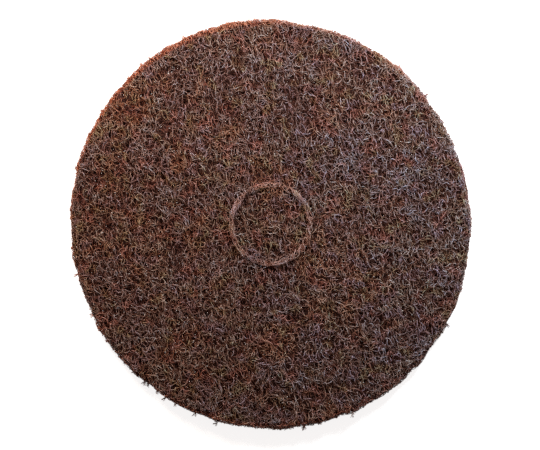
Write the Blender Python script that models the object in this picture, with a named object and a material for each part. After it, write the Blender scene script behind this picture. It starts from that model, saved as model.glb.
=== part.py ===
# A surface conditioning disc: one stamped piece of needled abrasive web.
# It lies on its back. The origin is the centre of its back face, and +Z points out of its working face.
import math

import bmesh
import bpy
from mathutils import Vector, noise

MM = 0.001

# Driving dimensions of the stamped web
DISC_DIAMETER = 115.0 * MM
WEB_THICKNESS = 5.0 * MM

# The web gives way under the press, so the cut leaves a rolled upper edge, a leaning side and a small lower corner
UPPER_ROLL = 1.7 * MM
LOWER_CORNER = 0.4 * MM
SIDE_LEAN = 0.5 * MM

# It also stretches more along its length than across, so the cut piece springs back slightly oval.
# Only the band next to the rim moves
OVAL_STRETCH = 0.75 * MM
OVAL_ANGLE = math.radians(106.0)
STRETCHED_BAND = 14.0 * MM

# The die for a 22.2 mm arbor hole has marked the face with a raised ring, and has not cut it through
ARBOR_DIAMETER = 22.2 * MM
RING_WIDTH = 2.2 * MM
RING_HEIGHT = 0.45 * MM
PLUG_LIFT = 0.15 * MM
CENTRE_MARK_DIAMETER = 6.5 * MM
CENTRE_MARK_HEIGHT = 0.25 * MM

# Unevenness of the face and of the cut rim: how far it reaches, and the width of one lump
FACE_LUMP_HEIGHT = 0.22 * MM
FACE_LUMP_WIDTH = 5.5 * MM
RIM_LUMP_HEIGHT = 0.75 * MM
RIM_LUMP_WIDTH = 4.5 * MM

# Spacing of the mesh
SECTORS = 150
FACE_SPACING = 3.2 * MM
MARK_STEPS = 2
RING_STEPS = 4
ROLL_STEPS = 4
SIDE_STEPS = 2
WELD_DISTANCE = 0.001 * MM
SMOOTH_ANGLE = math.radians(50.0)

# Look of the web: brown resin over nylon fibre
WEB_COLOUR = (0.095, 0.045, 0.032, 1.0)
WEB_ROUGHNESS = 0.85


def clear_scene():
    for old in list(bpy.data.objects):
        bpy.data.objects.remove(old, do_unlink=True)


def smooth_step(low, high, value):
    """0 below low, 1 above high, and a smooth rise between them."""
    t = min(1.0, max(0.0, (value - low) / (high - low)))
    return t * t * (3.0 - 2.0 * t)


def evenly(start, end, longest):
    """Distances after start, up to end, in equal steps no longer than longest."""
    steps = max(1, math.ceil((end - start) / longest))
    return [start + (end - start) * i / steps for i in range(1, steps + 1)]


def face_radii():
    """Radii of the face's loops: closer together on the centre mark and on the raised ring."""
    ring_inside = (ARBOR_DIAMETER - RING_WIDTH) / 2
    ring_outside = (ARBOR_DIAMETER + RING_WIDTH) / 2
    flat_edge = DISC_DIAMETER / 2 - SIDE_LEAN - UPPER_ROLL
    mark_edge = CENTRE_MARK_DIAMETER / 2
    radii = [0.0]
    radii += evenly(0.0, mark_edge, mark_edge / MARK_STEPS)
    radii += evenly(mark_edge, ring_inside, FACE_SPACING)
    radii += evenly(ring_inside, ring_outside, RING_WIDTH / RING_STEPS)
    radii += evenly(ring_outside, flat_edge, FACE_SPACING)
    return radii


def section_points():
    """Half of the disc's section, from the middle of the face, over the rim, to the middle of the back."""
    points = [(r, WEB_THICKNESS) for r in face_radii()]
    roll_centre_r = DISC_DIAMETER / 2 - SIDE_LEAN - UPPER_ROLL
    roll_centre_z = WEB_THICKNESS - UPPER_ROLL
    for i in range(1, ROLL_STEPS + 1):
        turn = math.pi / 2 * (1 - i / ROLL_STEPS)
        r = roll_centre_r + UPPER_ROLL * math.cos(turn)
        points.append((r, roll_centre_z + UPPER_ROLL * math.sin(turn)))
    for i in range(1, SIDE_STEPS + 1):
        share = i / SIDE_STEPS
        r = DISC_DIAMETER / 2 - SIDE_LEAN * (1 - share)
        points.append((r, roll_centre_z + (LOWER_CORNER - roll_centre_z) * share))
    points.append((DISC_DIAMETER / 2 - LOWER_CORNER, 0.0))
    points.append((0.0, 0.0))
    return points


def spun_section():
    """The section turned once round the disc's axis, as one closed bmesh."""
    bm = bmesh.new()
    chain = [bm.verts.new((r, 0.0, z)) for r, z in section_points()]
    edges = [bm.edges.new(pair) for pair in zip(chain, chain[1:])]
    bmesh.ops.spin(
        bm,
        geom=chain + edges,
        cent=(0.0, 0.0, 0.0),
        axis=(0.0, 0.0, 1.0),
        angle=math.tau,
        steps=SECTORS,
        use_merge=True,
    )
    bmesh.ops.remove_doubles(bm, verts=bm.verts, dist=WELD_DISTANCE)
    bmesh.ops.recalc_face_normals(bm, faces=bm.faces)
    return bm


def ring_rise(radius):
    """Height of the raised ring and of the plug inside it, at this distance from the axis."""
    across = (radius - ARBOR_DIAMETER / 2) / (RING_WIDTH / 2)
    ridge = RING_HEIGHT * (1 + math.cos(math.pi * across)) / 2 if abs(across) < 1 else 0.0
    plug = PLUG_LIFT if across <= 0 else PLUG_LIFT * (1 - smooth_step(0.0, 1.0, across))
    mark = CENTRE_MARK_HEIGHT * (1 - smooth_step(0.0, CENTRE_MARK_DIAMETER / 2, radius))
    return ridge + plug + mark


def face_rise(point):
    """Height that a point of the face gains from the ring and from the web's lumps."""
    radius = math.hypot(point.x, point.y)
    lump = noise.noise(Vector((point.x, point.y, 0.0)) / FACE_LUMP_WIDTH)
    return ring_rise(radius) + FACE_LUMP_HEIGHT * lump


def rim_shift(point):
    """How far a point of the rim moves outwards, from the oval spring-back and the ragged cut."""
    angle = math.atan2(point.y, point.x)
    oval = OVAL_STRETCH * math.cos(2 * (angle - OVAL_ANGLE))
    ragged = RIM_LUMP_HEIGHT * noise.noise(Vector(point) / RIM_LUMP_WIDTH)
    return oval + ragged


def roughen(bm):
    """Moves the face up and down, and the rim in and out. The back stays flat."""
    rim_end = DISC_DIAMETER / 2 - UPPER_ROLL
    rim_start = DISC_DIAMETER / 2 - STRETCHED_BAND
    for vert in bm.verts:
        at = vert.co.copy()
        radius = math.hypot(at.x, at.y)
        if radius > rim_start:
            share = smooth_step(rim_start, rim_end, radius)
            outwards = Vector((at.x, at.y, 0.0)).normalized()
            vert.co += outwards * rim_shift(at) * share
        on_face = smooth_step(WEB_THICKNESS - UPPER_ROLL, WEB_THICKNESS, at.z)
        vert.co.z += face_rise(at) * on_face


def web_material():
    material = bpy.data.materials.new("abrasive_web")
    material.use_nodes = True
    shader = material.node_tree.nodes["Principled BSDF"]
    shader.inputs["Base Color"].default_value = WEB_COLOUR
    shader.inputs["Roughness"].default_value = WEB_ROUGHNESS
    shader.inputs["Metallic"].default_value = 0.0
    return material


def abrasive_disc():
    """The whole disc: web, ring mark and back in one solid."""
    bm = spun_section()
    roughen(bm)
    mesh = bpy.data.meshes.new("abrasive_disc")
    bm.to_mesh(mesh)
    bm.free()
    mesh.shade_smooth()
    mesh.set_sharp_from_angle(angle=SMOOTH_ANGLE)
    mesh.materials.append(web_material())
    disc = bpy.data.objects.new("abrasive_disc", mesh)
    bpy.context.scene.collection.objects.link(disc)
    return disc


clear_scene()
abrasive_disc()
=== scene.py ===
import math

import bmesh
import bpy
import numpy as np
from mathutils import Euler, Matrix, Vector, noise
from mathutils.bvhtree import BVHTree


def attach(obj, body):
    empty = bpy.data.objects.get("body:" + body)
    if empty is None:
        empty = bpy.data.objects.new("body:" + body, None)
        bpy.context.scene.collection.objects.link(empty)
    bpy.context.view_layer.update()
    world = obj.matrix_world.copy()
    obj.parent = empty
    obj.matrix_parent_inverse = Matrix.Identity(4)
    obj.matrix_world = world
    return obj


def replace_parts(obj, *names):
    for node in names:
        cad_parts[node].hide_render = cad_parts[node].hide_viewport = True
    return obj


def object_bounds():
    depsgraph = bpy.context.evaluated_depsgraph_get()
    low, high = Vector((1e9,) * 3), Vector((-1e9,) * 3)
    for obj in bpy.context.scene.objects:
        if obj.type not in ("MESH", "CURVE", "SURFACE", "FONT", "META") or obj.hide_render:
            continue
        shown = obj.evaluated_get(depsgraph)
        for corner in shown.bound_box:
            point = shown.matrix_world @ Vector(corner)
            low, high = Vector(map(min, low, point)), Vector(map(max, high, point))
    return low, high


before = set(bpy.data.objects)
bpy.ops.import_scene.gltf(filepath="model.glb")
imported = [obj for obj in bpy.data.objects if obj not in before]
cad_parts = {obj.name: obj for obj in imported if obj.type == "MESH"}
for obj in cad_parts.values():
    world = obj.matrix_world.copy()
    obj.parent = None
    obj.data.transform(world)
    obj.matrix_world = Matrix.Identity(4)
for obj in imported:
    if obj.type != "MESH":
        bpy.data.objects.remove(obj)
cad_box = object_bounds()


# Between its matted fibres it is painted near black, as shade in the deep pores.
# Body of the web
# The disc is stamped from a mat of crimped nylon fibre, which is needled through and set in brown resin.
# The lower part of the mat is too dense to see into, and carries the open fibres on top of it.
# A plain woven cloth backs it.
MM = 0.001
CORE_SINK = 1.35 * MM
CORE_LUMP_HEIGHT = 0.45 * MM
CORE_LUMP_WIDTH = 1.1 * MM
BACK_HEIGHT = 0.3 * MM
CORE_CUTS = 1
CORE_SHARP_ANGLE = math.radians(35.0)
CORE_MAT_WIDTH = 0.35 * MM
CORE_GLOSS_WIDTH = 0.8 * MM
CORE_BUMP = 0.12 * MM
BACKING_THREAD_PITCH = 1.2 * MM
WELD_DISTANCE = 0.001 * MM

CORE_PORE_SHADE_COLOUR = (0.026, 0.0045, 0.0020, 1)
CORE_FIBRE_COLOUR = (0.080, 0.024, 0.014, 1)
BACKING_COLOUR = (0.060, 0.030, 0.024, 1)
BACKING_THREAD_COLOUR = (0.150, 0.095, 0.075, 1)
# How strongly every surface here mirrors the light
SHINE = 0.28


class Field:
    """A socket that varies over a surface. Sums and products of fields add Math nodes."""

    def __init__(self, finish, socket):
        self.finish = finish
        self.socket = socket

    def math(self, operation, first, second=0.0):
        return self.finish.node("ShaderNodeMath", {"operation": operation}, {0: first, 1: second})

    def __add__(self, other):
        return self.math("ADD", self, other)

    def __radd__(self, other):
        return self.math("ADD", other, self)

    def __sub__(self, other):
        return self.math("SUBTRACT", self, other)

    def __rsub__(self, other):
        return self.math("SUBTRACT", other, self)

    def __mul__(self, other):
        return self.math("MULTIPLY", self, other)

    def __rmul__(self, other):
        return self.math("MULTIPLY", other, self)

    def __pow__(self, power):
        return self.math("POWER", self, power)

    def wave(self):
        return self.math("SINE", self)

    def size(self):
        return self.math("ABSOLUTE", self)

    def step(self, low, high):
        """0 below low and 1 above high, smoothly. It falls where low is the higher of the two."""
        settings = {"interpolation_type": "SMOOTHSTEP", "clamp": True}
        if low < high:
            return self.finish.node(
                "ShaderNodeMapRange", settings, {"Value": self, "From Min": low, "From Max": high}
            )
        return 1 - self.step(high, low)


class Finish:
    """A material under construction."""

    def __init__(self, name):
        self.material = bpy.data.materials.new(name)
        self.material.use_nodes = True
        self.tree = self.material.node_tree
        self.shader = self.tree.nodes["Principled BSDF"]
        self.shader.inputs["Specular IOR Level"].default_value = SHINE
        self.place = self.node("ShaderNodeTexCoord", {}, {}, "Object")

    def connect(self, socket, value):
        if isinstance(value, Field):
            self.tree.links.new(value.socket, socket)
        else:
            socket.default_value = value

    def node(self, kind, settings, inputs, output=0):
        """Adds a node of this kind and gives one of its outputs as a field."""
        node = self.tree.nodes.new(kind)
        for name, value in settings.items():
            setattr(node, name, value)
        for name, value in inputs.items():
            self.connect(node.inputs[name], value)
        return Field(self, node.outputs[output])

    def noise(self, width, detail=2.0, offset=0.0, output="Fac"):
        """Smooth noise whose lumps are this wide, moved aside by offset so that two differ."""
        place = self.node(
            "ShaderNodeVectorMath", {"operation": "ADD"}, {0: self.place, 1: (offset, offset, 0.0)}
        )
        inputs = {"Vector": place, "Scale": 1 / width, "Detail": detail}
        return self.node("ShaderNodeTexNoise", {}, inputs, output)

    def mix(self, factor, first, second, blend="MIX"):
        """Mixes two colours."""
        settings = {"data_type": "RGBA", "blend_type": blend}
        return self.node("ShaderNodeMix", settings, {0: factor, 6: first, 7: second}, 2)

    def parts(self, vector):
        """The x, y and z of a vector."""
        return [self.node("ShaderNodeSeparateXYZ", {}, {0: vector}, i) for i in range(3)]

    def distance(self):
        """Distance from the disc's axis."""
        flat = self.node(
            "ShaderNodeVectorMath", {"operation": "MULTIPLY"}, {0: self.place, 1: (1.0, 1.0, 0.0)}
        )
        return self.node("ShaderNodeVectorMath", {"operation": "LENGTH"}, {0: flat}, "Value")

    def bump(self, height, distance, strength=1.0):
        inputs = {"Height": height, "Distance": distance, "Strength": strength}
        return self.node("ShaderNodeBump", {}, inputs)

    def coat(self, **inputs):
        """Sets the surface shader's sockets, by their names with underscores for spaces."""
        for name, value in inputs.items():
            self.connect(self.shader.inputs[name.replace("_", " ").title()], value)


def core_finish():
    """Matted fibre deep in the web over near-black painted pore shade, and a woven backing cloth on the
    underside.
    """
    finish = Finish("web_core")
    x, y, z = finish.parts(finish.place)
    matted = finish.noise(CORE_MAT_WIDTH, detail=3.0).step(0.45, 0.7)
    # The ground between the matted fibres is painted near-black shade for the deep pores
    web = finish.mix(matted, CORE_PORE_SHADE_COLOUR, CORE_FIBRE_COLOUR)
    turns = math.tau / BACKING_THREAD_PITCH
    warp = (x * turns).wave()
    weft = (y * turns).wave()
    threads = (warp * weft).size().step(0.1, 0.7)
    backing = finish.mix(threads, BACKING_COLOUR, BACKING_THREAD_COLOUR)
    under = z.step(BACK_HEIGHT, 0.0)
    finish.coat(
        base_color=finish.mix(under, web, backing),
        roughness=0.75 + 0.2 * finish.noise(CORE_GLOSS_WIDTH),
        normal=finish.bump(matted + threads * under, CORE_BUMP),
    )
    return finish.material


def cad_shell():
    """The frame's disc as one welded mesh."""
    bm = bmesh.new()
    bm.from_mesh(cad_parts["abrasive_disc"].data)
    bmesh.ops.remove_doubles(bm, verts=bm.verts, dist=WELD_DISTANCE)
    return bm


def finished(name, mesh, material):
    """Puts a mesh into the scene as a piece of the web."""
    piece = bpy.data.objects.new(name, mesh)
    bpy.context.scene.collection.objects.link(piece)
    piece.data.materials.clear()
    piece.data.materials.append(material)
    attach(piece, "root")
    return piece


def web_core():
    """The disc's own form, sunk and lumpy everywhere but on its flat back."""
    bm = cad_shell()
    bmesh.ops.subdivide_edges(bm, edges=bm.edges, cuts=CORE_CUTS, use_grid_fill=True)
    bm.normal_update()
    sinks = []
    for vert in bm.verts:
        lump = CORE_LUMP_HEIGHT * noise.noise(vert.co / CORE_LUMP_WIDTH)
        sinks.append(vert.normal * (lump - CORE_SINK))
    for vert, sink in zip(bm.verts, sinks):
        above_back = min(1.0, vert.co.z / BACK_HEIGHT)
        vert.co += sink * above_back
        vert.co.z = max(0.0, vert.co.z)
    mesh = bpy.data.meshes.new("web_core")
    bm.to_mesh(mesh)
    bm.free()
    mesh.shade_smooth()
    mesh.set_sharp_from_angle(angle=CORE_SHARP_ANGLE)
    return finished("web_core", mesh, core_finish())


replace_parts(web_core(), "abrasive_disc")


# Open fibres of the web
# Each fibre is a crimped nylon staple, coated with resin and fine grain. They lie at random in the mat,
# cross each other, and leave small deep pores. They bend over the rolled rim and down the cut side.
FIBRE_WIDTH = 0.175 * MM
FLAT_EDGE = 2.2 * MM
ROLL = 1.7 * MM
SIDE_END = 0.35 * MM
RIM_READINGS = 360
FACE_READING_AT = 30.0 * MM
LAYER_POINTS = 9
LAYER_CURLINESS = 0.85
LAYER_STEP = 0.8 * MM
DIVE = 0.46 * MM
PROUD = -0.12 * MM
# Depth at which a fibre's painted shade is at its darkest
PAINTED_SHADE_DEPTH = 1.3 * MM
RING_RADIUS = 11.1 * MM
LENGTH_ANGLE = math.radians(106.0)
LENGTH_PULL = 0.22
SEED = 7

RESIN_COLOUR = (0.230, 0.157, 0.134, 1)
# Colour of each kind of patch, its width, and how much of the web it takes
RESIN_PATCHES = [
    ((0.275, 0.140, 0.088, 1), 10.0 * MM, 0.8),
    ((0.205, 0.152, 0.160, 1), 11.0 * MM, 0.9),
    ((0.275, 0.120, 0.098, 1), 5.0 * MM, 0.5),
    ((0.220, 0.152, 0.085, 1), 4.5 * MM, 0.45),
    ((0.208, 0.130, 0.145, 1), 4.0 * MM, 0.5),
]
PATCH_STRENGTH = 0.85
# The colour is multiplied a little redder towards the left of the disc and greyer towards the right
LEFT_TINT = (1.03, 0.93, 0.82, 1)
RIGHT_TINT = (0.97, 1.08, 1.20, 1)
TINT_REACH = 50.0 * MM
# How fast red, green and blue fall as a fibre gets darker, from the painted shade of depth and from its own
# tone: deep fibres look red-brown, not grey
DARKENING = (0.92, 1.65, 2.1)
# Where a fibre's lightness breaks along its length, and the speckle of its resin
BREAK_WIDTH = 0.35 * MM
SPECKLE_WIDTH = 0.14 * MM
FIBRE_GLOSS_WIDTH = 0.4 * MM
FIBRE_GRIT_WIDTH = 0.12 * MM
FIBRE_BUMP = 0.05 * MM

# The die's ring and the rim are paler or redder within these distances, most of all within the smaller one
PRESSED_COLOUR = (0.340, 0.190, 0.155, 1)
PRESSED_STRENGTH = 0.7
PRESSED_WITHIN = 1.2 * MM
PRESSED_MOST = 0.1 * MM
PRESSED_BREAK_WIDTH = 6.0 * MM
SCUFF_COLOUR = (0.360, 0.260, 0.210, 1)
SCUFF_STRENGTH = 0.85
SCUFF_WITHIN = 3.8 * MM
SCUFF_MOST = 1.8 * MM
SCUFF_BREAK_WIDTH = 1.2 * MM
RIM_COLOUR = (0.360, 0.115, 0.055, 1)
RIM_STRENGTH = 0.85
RIM_STRENGTH_LOST = 0.5
RIM_WITHIN = 1.2 * MM
RIM_MOST = 0.2 * MM


web_surface = BVHTree.FromBMesh(cad_shell())
half_height = cad_box[1].z / 2


def rim_radii():
    """Radius of the disc at half its height, at evenly spaced angles."""
    radii = []
    for i in range(RIM_READINGS):
        angle = math.tau * i / RIM_READINGS
        outwards = Vector((math.cos(angle), math.sin(angle), 0.0))
        start = outwards * cad_box[1].y * 2 + Vector((0.0, 0.0, half_height))
        hit = web_surface.ray_cast(start, -outwards)[0]
        radii.append(math.hypot(hit.x, hit.y))
    return np.array(radii)


rim_by_angle = rim_radii()
face_height = web_surface.ray_cast(Vector((FACE_READING_AT, 0.0, 1.0)), Vector((0.0, 0.0, -1.0)))[0].z
sheet_reach = rim_by_angle.max() - FLAT_EDGE + ROLL * math.pi / 2 + face_height - ROLL - SIDE_END


def on_web(u, v, depth):
    """Places on the web of points of a flat sheet that is laid over it.

    The sheet bends over the rim and down the side. Depth is measured inwards from the web's surface.
    """
    reach = np.hypot(u, v)
    angle = np.arctan2(v, u) % math.tau
    readings = np.append(rim_by_angle, rim_by_angle[0])
    rim = np.interp(angle, np.linspace(0.0, math.tau, RIM_READINGS + 1), readings)
    over = reach - (rim - FLAT_EDGE)
    bent = np.clip(over / ROLL, 0.0, math.pi / 2)
    below = np.clip(over - ROLL * math.pi / 2, 0.0, face_height - ROLL - SIDE_END)
    radius = np.minimum(reach, rim - FLAT_EDGE) + ROLL * np.sin(bent)
    height = face_height - ROLL * (1 - np.cos(bent)) - below
    guesses = np.stack((radius * np.cos(angle), radius * np.sin(angle), height), axis=-1)
    places = np.empty_like(guesses)
    for index in np.ndindex(depth.shape):
        place, normal, _, _ = web_surface.find_nearest(Vector(guesses[index]))
        places[index] = place - normal * depth[index]
    return places


def fibre_section():
    """A three-sided section for the fibres."""
    section = bpy.data.curves.new("fibre_section", "CURVE")
    section.dimensions = "2D"
    spline = section.splines.new("POLY")
    spline.points.add(2)
    for i, point in enumerate(spline.points):
        turn = math.tau * i / 3
        point.co = (FIBRE_WIDTH / 2 * math.cos(turn), FIBRE_WIDTH / 2 * math.sin(turn), 0.0, 1.0)
    spline.use_cyclic_u = True
    return bpy.data.objects.new("fibre_section", section)


def strands_mesh(name, places, thickness):
    """Fibres along the given points, each as a closed three-sided tube."""
    curve = bpy.data.curves.new(name, "CURVE")
    curve.dimensions = "3D"
    curve.bevel_mode = "OBJECT"
    section = fibre_section()
    curve.bevel_object = section
    count, length = places.shape[:2]
    weights = np.ones((count, length, 1))
    rows = np.concatenate((places, weights), axis=2).astype(np.float32)
    for row, thick in zip(rows, thickness.astype(np.float32)):
        spline = curve.splines.new("POLY")
        spline.points.add(length - 1)
        spline.points.foreach_set("co", row.ravel())
        spline.points.foreach_set("radius", thick)
    carrier = bpy.data.objects.new(name + "_curve", curve)
    bpy.context.scene.collection.objects.link(carrier)
    graph = bpy.context.evaluated_depsgraph_get()
    mesh = bpy.data.meshes.new_from_object(carrier.evaluated_get(graph))
    bpy.data.objects.remove(carrier)
    bpy.data.objects.remove(section)
    bm = bmesh.new()
    bm.from_mesh(mesh)
    open_ends = [edge for edge in bm.edges if edge.is_boundary]
    bmesh.ops.holes_fill(bm, edges=open_ends, sides=3)
    bmesh.ops.recalc_face_normals(bm, faces=bm.faces)
    bm.to_mesh(mesh)
    bm.free()
    return mesh


def give(mesh, name, values):
    """Stores one number for each point of the mesh."""
    attribute = mesh.attributes.new(name, "FLOAT", "POINT")
    attribute.data.foreach_set("value", values.astype(np.float32).ravel())


def lay_out(mesh, count, length):
    """Gives each fibre its own cell of the map, with its sides unrolled side by side."""
    for old in list(mesh.uv_layers):
        mesh.uv_layers.remove(old)
    cells = math.ceil(math.sqrt(count))
    loops = len(mesh.loops)
    corners = np.empty(loops, dtype=np.int32)
    mesh.loops.foreach_get("vertex_index", corners)
    sizes = np.empty(len(mesh.polygons), dtype=np.int32)
    mesh.polygons.foreach_get("loop_total", sizes)
    face_of = np.repeat(np.arange(len(sizes)), sizes)
    side = corners % 3
    along = corners // 3 % length
    strand = corners // (3 * length)
    has_last = np.zeros(len(sizes), dtype=bool)
    has_first = np.zeros(len(sizes), dtype=bool)
    np.logical_or.at(has_last, face_of, side == 2)
    np.logical_or.at(has_first, face_of, side == 0)
    # The face that closes the tube goes from side 2 to side 0, which is numbered 3 there
    tube = sizes == 4
    closing = (tube & has_last & has_first)[face_of]
    side = np.where(closing & (side == 0), 3, side)
    # The tube takes most of the cell, and the two end caps take the strip at its right
    cap = ~tube[face_of]
    u = np.where(cap, 0.92 + 0.03 * (side == 1), 0.06 + 0.80 * along / (length - 1))
    v = np.where(cap, 0.1 + 0.1 * (side == 2) + 0.5 * (along > 0), 0.06 + 0.88 * side / 3)
    flat = np.stack(((strand % cells + u) / cells, (strand // cells + v) / cells), axis=-1)
    layer = mesh.uv_layers.new(name="OFBake")
    layer.uv.foreach_set("vector", flat.astype(np.float32).ravel())


def fibre_finish():
    """Brown resin in soft patches of other browns, paler where it was pressed and where it is worn, and
    painted darker the deeper a fibre lies, as shade.
    """
    finish = Finish("web_fibre")
    depth = finish.node("ShaderNodeAttribute", {"attribute_name": "depth"}, {}, "Fac")
    shade = finish.node("ShaderNodeAttribute", {"attribute_name": "shade"}, {}, "Fac")
    away = finish.distance()
    resin = RESIN_COLOUR
    for offset, (colour, width, share) in enumerate(RESIN_PATCHES):
        lumps = finish.noise(width, 1.5, offset=0.1 * offset)
        patch = lumps.step(0.62 - 0.2 * share, 0.72 - 0.12 * share)
        resin = finish.mix(patch * PATCH_STRENGTH, resin, colour)
    scuff_breaks = finish.noise(SCUFF_BREAK_WIDTH, offset=0.9).step(0.35, 0.6)
    scuff = away.step(SCUFF_WITHIN, SCUFF_MOST) * scuff_breaks
    pressed_breaks = finish.noise(PRESSED_BREAK_WIDTH, 1.0, offset=0.5).step(0.25, 0.55)
    pressed = (away - RING_RADIUS).size().step(PRESSED_WITHIN, PRESSED_MOST) * pressed_breaks
    resin = finish.mix(scuff * SCUFF_STRENGTH, resin, SCUFF_COLOUR)
    resin = finish.mix(pressed * PRESSED_STRENGTH, resin, PRESSED_COLOUR)
    cut = away.step(rim_by_angle.mean() - RIM_WITHIN, rim_by_angle.mean() - RIM_MOST)
    x, _, _ = finish.parts(finish.place)
    rightwards = x.step(-TINT_REACH, TINT_REACH)
    resin = finish.mix(cut * (RIM_STRENGTH - RIM_STRENGTH_LOST * rightwards), resin, RIM_COLOUR)
    side_tint = finish.mix(rightwards, LEFT_TINT, RIGHT_TINT)
    resin = finish.mix(1.0, resin, side_tint, "MULTIPLY")
    # Deeper fibres are painted darker, as shade in the pores of the mat; each fibre's own random tone
    # multiplies it.
    light = ((1 - depth) ** 1.4 * 0.9 + 0.1) * shade
    light = light * (0.68 + 0.56 * finish.noise(BREAK_WIDTH, 1.0).step(0.3, 0.7))
    light = light * (0.72 + 0.46 * finish.noise(SPECKLE_WIDTH, 1.0))
    channels = {i: light**power for i, power in enumerate(DARKENING)}
    lightness = finish.node("ShaderNodeCombineColor", {}, channels)
    finish.coat(
        base_color=finish.mix(1.0, resin, lightness, "MULTIPLY"),
        roughness=0.35 + 0.35 * finish.noise(FIBRE_GLOSS_WIDTH),
        normal=finish.bump(finish.noise(FIBRE_GRIT_WIDTH), FIBRE_BUMP),
    )
    return finish.material


fibre_material = fibre_finish()


def crimped(chance, middle_u, middle_v, heading, length, step, curliness):
    """Points of fibres that lie around these middles in the flat sheet and wander as they go."""
    count = len(middle_u)
    along = np.arange(length)
    curl = chance.normal(0.0, 0.25 * curliness, (count, 1))
    crimp = curliness * chance.uniform(0.4, 1.1, (count, 1))
    beat = chance.uniform(0.6, 1.6, (count, 1))
    phase = math.tau * chance.random((count, 1))
    course = heading[:, None] + curl * along + crimp * np.sin(beat * along + phase)
    course += LENGTH_PULL * np.sin(2 * (LENGTH_ANGLE - course))
    u = np.cumsum(step * np.cos(course), axis=1)
    v = np.cumsum(step * np.sin(course), axis=1)
    u += middle_u[:, None] - u.mean(axis=1, keepdims=True)
    v += middle_v[:, None] - v.mean(axis=1, keepdims=True)
    return u, v


def diving(chance, count, length, shallowest, deepest, dive):
    """Depths of fibres that come to the surface and go back into the mat."""
    middle = chance.uniform(shallowest, deepest, (count, 1))
    beat = chance.uniform(0.8, 1.7, (count, 1))
    phase = math.tau * chance.random((count, 1))
    depth = middle + dive * np.sin(beat * np.arange(length) + phase)
    return np.maximum(depth, PROUD)


def fibre_piece(name, chance, places, depth, thickness):
    """Makes a piece of fibres, each with its own shade."""
    count, length = depth.shape
    mesh = strands_mesh(name, places, thickness)
    lay_out(mesh, count, length)
    give(mesh, "depth", np.repeat(np.clip(depth / PAINTED_SHADE_DEPTH, 0.0, 1.0).ravel(), 3))
    give(mesh, "shade", np.repeat(chance.uniform(0.7, 1.4, count), 3 * length))
    return finished(name, mesh, fibre_material)


def scattered(chance, count, nearest, furthest):
    """Middles spread evenly over a ring of the flat sheet."""
    reach = np.sqrt(chance.uniform(nearest**2, furthest**2, count))
    angle = math.tau * chance.random(count)
    return reach * np.cos(angle), reach * np.sin(angle)


def fibre_layer(name, count, shallowest, deepest):
    """One layer of the mat, scattered over the whole disc."""
    chance = np.random.default_rng([SEED, count, int(deepest / MM * 100)])
    middle_u, middle_v = scattered(chance, count, 0.0, sheet_reach)
    heading = math.tau * chance.random(count)
    u, v = crimped(chance, middle_u, middle_v, heading, LAYER_POINTS, LAYER_STEP, LAYER_CURLINESS)
    depth = diving(chance, count, LAYER_POINTS, shallowest, deepest, DIVE)
    thickness = chance.uniform(0.75, 1.2, (count, 1)) * np.ones((count, LAYER_POINTS))
    fibre_piece(name, chance, on_web(u, v, depth), depth, thickness)


fibre_layer("fibres_lowest", 3960, 0.75 * MM, 1.3 * MM)
fibre_layer("fibres_low", 3950, 0.5 * MM, 1.0 * MM)
fibre_layer("fibres_middle", 3940, 0.3 * MM, 0.7 * MM)
fibre_layer("fibres_top", 3930, 0.1 * MM, 0.4 * MM)


# Cut rim of the web
# The press shears the mat off at the rim and packs its fibres together there. They run every way over the
# rolled edge and down the side, and their cut ends stand out as a short fringe with a few longer tufts.
PACKED_COUNT = 1500
PACKED_POINTS = 7
PACKED_STEP = 0.55 * MM
PACKED_CURLINESS = 1.2
PACKED_BAND = 7.0 * MM
PACKED_DEEPEST = 0.45 * MM
PACKED_DIVE = 0.25 * MM
FRINGE_TUFTS = 560
FRINGE_TUFT_SIZE = 2
FRINGE_POINTS = 5
FRINGE_REACH = 0.3 * MM
FRINGE_BAND = 5.0 * MM
STRAY_TUFTS = 60
STRAY_TUFT_SIZE = 6
STRAY_POINTS = 8
STRAY_REACH = 1.0 * MM
STRAY_BAND = 3.5 * MM
TUFT_SPREAD = 0.2 * MM
TUFT_STEP = 0.2 * MM
# Tufts start this far from the back, and no fibre comes nearer to the floor than the lower limit
TUFTS_END = 0.8 * MM
LOWEST_FIBRE = 0.2 * MM


def packed_fibres():
    """Fibres that lie close together over the rolled edge and on the cut side."""
    chance = np.random.default_rng([SEED, PACKED_COUNT])
    u, v = scattered(chance, PACKED_COUNT, sheet_reach - PACKED_BAND, sheet_reach)
    heading = math.tau * chance.random(PACKED_COUNT)
    u, v = crimped(chance, u, v, heading, PACKED_POINTS, PACKED_STEP, PACKED_CURLINESS)
    depth = diving(chance, PACKED_COUNT, PACKED_POINTS, 0.0, PACKED_DEEPEST, PACKED_DIVE)
    thickness = chance.uniform(0.75, 1.15, (PACKED_COUNT, 1)) * np.ones((PACKED_COUNT, PACKED_POINTS))
    fibre_piece("rim_packed_fibres", chance, on_web(u, v, depth), depth, thickness)


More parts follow.
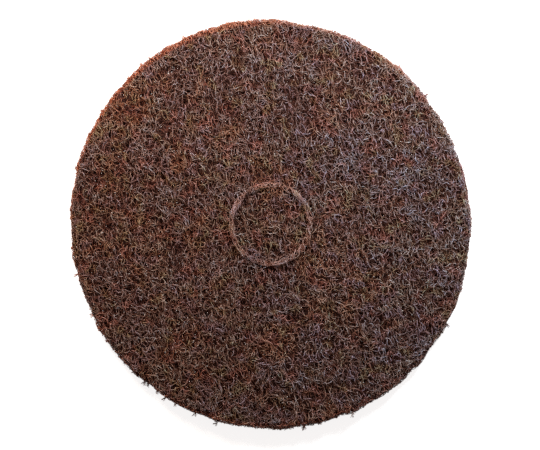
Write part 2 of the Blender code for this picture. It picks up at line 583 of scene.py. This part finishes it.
def standing_fibres(name, tufts, tuft_size, points, reach, band):
    """Fibres that leave the rim outwards in small tufts, thinner towards their free ends."""
    count = tufts * tuft_size
    chance = np.random.default_rng([SEED, tufts])
    tufts_at = scattered(chance, tufts, sheet_reach - band, sheet_reach - TUFTS_END)
    u, v = [np.repeat(a, tuft_size) + chance.normal(0.0, TUFT_SPREAD, count) for a in tufts_at]
    heading = np.repeat(math.tau * chance.random(tufts), tuft_size) + chance.normal(0.0, 0.3, count)
    u, v = crimped(chance, u, v, heading, points, TUFT_STEP, 1.0)
    lengths = np.repeat(chance.exponential(1.0, tufts).clip(0.2, 1.5), tuft_size)
    lengths *= chance.uniform(0.6, 1.0, count)
    depth = -reach * np.linspace(-0.5, 1.0, points) * lengths[:, None]
    thickness = np.linspace(1.4, 0.8, points) * chance.uniform(0.8, 1.2, (count, 1))
    places = on_web(u, v, depth)
    # Ends that would go into the floor bend up again
    places[..., 2] = LOWEST_FIBRE + np.abs(places[..., 2] - LOWEST_FIBRE)
    fibre_piece(name, chance, places, depth, thickness)


packed_fibres()
standing_fibres("rim_fringe", FRINGE_TUFTS, FRINGE_TUFT_SIZE, FRINGE_POINTS, FRINGE_REACH, FRINGE_BAND)
standing_fibres("rim_strays", STRAY_TUFTS, STRAY_TUFT_SIZE, STRAY_POINTS, STRAY_REACH, STRAY_BAND)


# Die ring on the face
# The die for an arbor hole has only marked the web. Its edge has pressed the fibres into a thin raised line
# that runs round the middle and breaks off here and there.
RING_COUNT = 210
RING_POINTS = 6
RING_STEP = 0.6 * MM
RING_SPREAD = 0.28 * MM
RING_BUNCHING = 0.3
RING_STRAYING = 0.12
RING_CURLINESS = 0.25
RING_DEPTH = 0.1 * MM
RING_DIVE = 0.08 * MM


def ring_fibres():
    """Fibres that lie nearly along the ring, closer together in some parts of it."""
    chance = np.random.default_rng([SEED, RING_COUNT])
    angle = math.tau * chance.random(RING_COUNT)
    angle += RING_BUNCHING * np.sin(3 * angle + 1.0)
    reach = RING_RADIUS + chance.normal(0.0, RING_SPREAD, RING_COUNT)
    heading = angle + math.pi / 2 + chance.normal(0.0, RING_STRAYING, RING_COUNT)
    middle_u = reach * np.cos(angle)
    middle_v = reach * np.sin(angle)
    u, v = crimped(chance, middle_u, middle_v, heading, RING_POINTS, RING_STEP, RING_CURLINESS)
    depth = diving(chance, RING_COUNT, RING_POINTS, -RING_DEPTH, RING_DEPTH, RING_DIVE)
    thickness = chance.uniform(0.7, 1.1, (RING_COUNT, 1)) * np.ones((RING_COUNT, RING_POINTS))
    fibre_piece("ring_fibres", chance, on_web(u, v, depth), depth, thickness)


ring_fibres()


# Grain
# Hard mineral grain is stuck to the fibres by the resin, which stains most of it.
# Here and there a clean grain glints.
GRAIN_COUNT = 2000
GRAIN_RADIUS = 0.085 * MM
GRAIN_PROUD = 0.1 * MM
GRAIN_DEEPEST = 0.35 * MM
GRAIN_EDGE = 1.0 * MM
GRAIN_STAIN_WIDTH = 0.9 * MM
GRAIN_GLOSS_WIDTH = 0.3 * MM
GRAIN_COLOUR = (0.75, 0.72, 0.70, 1)
GRAIN_STAINED_COLOUR = (0.40, 0.27, 0.22, 1)


def grain_finish():
    """Glassy grain, clean or stained brown."""
    finish = Finish("mineral_grain")
    stained = finish.noise(GRAIN_STAIN_WIDTH, 1.0).step(0.4, 0.6)
    finish.coat(
        base_color=finish.mix(stained, GRAIN_COLOUR, GRAIN_STAINED_COLOUR),
        roughness=0.15 + 0.3 * finish.noise(GRAIN_GLOSS_WIDTH),
    )
    return finish.material


def loose_grain():
    """Small lumps of grain over the face, each with its own size and turn."""
    chance = np.random.default_rng([SEED, GRAIN_COUNT])
    u, v = scattered(chance, GRAIN_COUNT, 0.0, sheet_reach - GRAIN_EDGE)
    places = on_web(u, v, chance.uniform(-GRAIN_PROUD, GRAIN_DEEPEST, GRAIN_COUNT))
    one = bmesh.new()
    bmesh.ops.create_icosphere(one, subdivisions=1, radius=GRAIN_RADIUS)
    grain = bpy.data.meshes.new("one_grain")
    one.to_mesh(grain)
    one.free()
    bm = bmesh.new()
    for place in places:
        size = Vector(chance.uniform(0.7, 1.4, 3))
        turn = Euler(math.tau * chance.random(3))
        shaped = grain.copy()
        shaped.transform(Matrix.LocRotScale(Vector(place), turn, size))
        bm.from_mesh(shaped)
        bpy.data.meshes.remove(shaped)
    mesh = bpy.data.meshes.new("grain")
    bm.to_mesh(mesh)
    bm.free()
    return finished("grain", mesh, grain_finish())


loose_grain()


# Floor, light and camera
# The disc lies on its back on a pale floor. Two soft lamps stand beyond its upper edge, a warm one on the
# left and a cooler, stronger one on the right. The camera looks straight down at it.
PHOTO_WIDTH = 540
PHOTO_HEIGHT = 450
DISC_CENTRE_PX = (270.5, 224.3)
PIXEL = 0.2818 * MM
CAMERA_HEIGHT = 0.75
SENSOR_WIDTH = 36.0
FLOOR_HALF_WIDTH = 3.0
FLOOR_COLOUR = (0.6, 0.6, 0.6, 1)
FLOOR_GLOW = 0.85
SKY_COLOUR = (1.0, 0.70, 0.58, 1)
SKY_STRENGTH = 0.14
LAMP_WIDTH = 0.07

scene = bpy.context.scene
scene.view_settings.view_transform = "Standard"
# The denoiser would smear fibres that are about one pixel wide
scene.cycles.use_denoising = False

floor_bm = bmesh.new()
bmesh.ops.create_grid(floor_bm, x_segments=1, y_segments=1, size=FLOOR_HALF_WIDTH)
floor_mesh = bpy.data.meshes.new("floor")
floor_bm.to_mesh(floor_mesh)
floor_bm.free()
floor = bpy.data.objects.new("floor", floor_mesh)
scene.collection.objects.link(floor)
floor_finish = Finish("floor")
rays = ["Is Camera Ray", "Is Glossy Ray", "Is Transmission Ray"]
seen = [floor_finish.node("ShaderNodeLightPath", {}, {}, ray) for ray in rays]
floor_finish.coat(
    base_color=FLOOR_COLOUR,
    roughness=0.9,
    emission_color=(1, 1, 1, 1),
    emission_strength=(seen[0] + seen[1] + seen[2]).step(0.0, 0.5) * FLOOR_GLOW,
)
floor.data.materials.append(floor_finish.material)

world = bpy.data.worlds.new("world")
world.use_nodes = True
background = world.node_tree.nodes["Background"]
background.inputs["Color"].default_value = SKY_COLOUR
background.inputs["Strength"].default_value = SKY_STRENGTH
scene.world = world


def soft_lamp(name, place, colour, power):
    """A small round softbox that points at the middle of the disc."""
    lamp = bpy.data.lights.new(name, "AREA")
    lamp.shape = "DISK"
    lamp.size = LAMP_WIDTH
    lamp.energy = power
    lamp.color = colour
    lamp_object = bpy.data.objects.new(name, lamp)
    lamp_object.location = place
    lamp_object.rotation_euler = (-Vector(place)).to_track_quat("-Z", "Y").to_euler()
    lamp_object.visible_camera = False
    scene.collection.objects.link(lamp_object)


soft_lamp("left_lamp", (-0.11, 0.13, 0.11), (1.0, 0.85, 0.74), 0.49)
soft_lamp("right_lamp", (0.11, 0.13, 0.11), (0.93, 0.98, 1.0), 0.72)

camera_data = bpy.data.cameras.new("camera")
camera_data.sensor_width = SENSOR_WIDTH
camera_data.lens = SENSOR_WIDTH * (CAMERA_HEIGHT - face_height) / (PHOTO_WIDTH * PIXEL)
camera = bpy.data.objects.new("camera", camera_data)
camera.location = (
    (PHOTO_WIDTH / 2 - DISC_CENTRE_PX[0]) * PIXEL,
    (DISC_CENTRE_PX[1] - PHOTO_HEIGHT / 2) * PIXEL,
    CAMERA_HEIGHT,
)
scene.collection.objects.link(camera)
scene.camera = camera
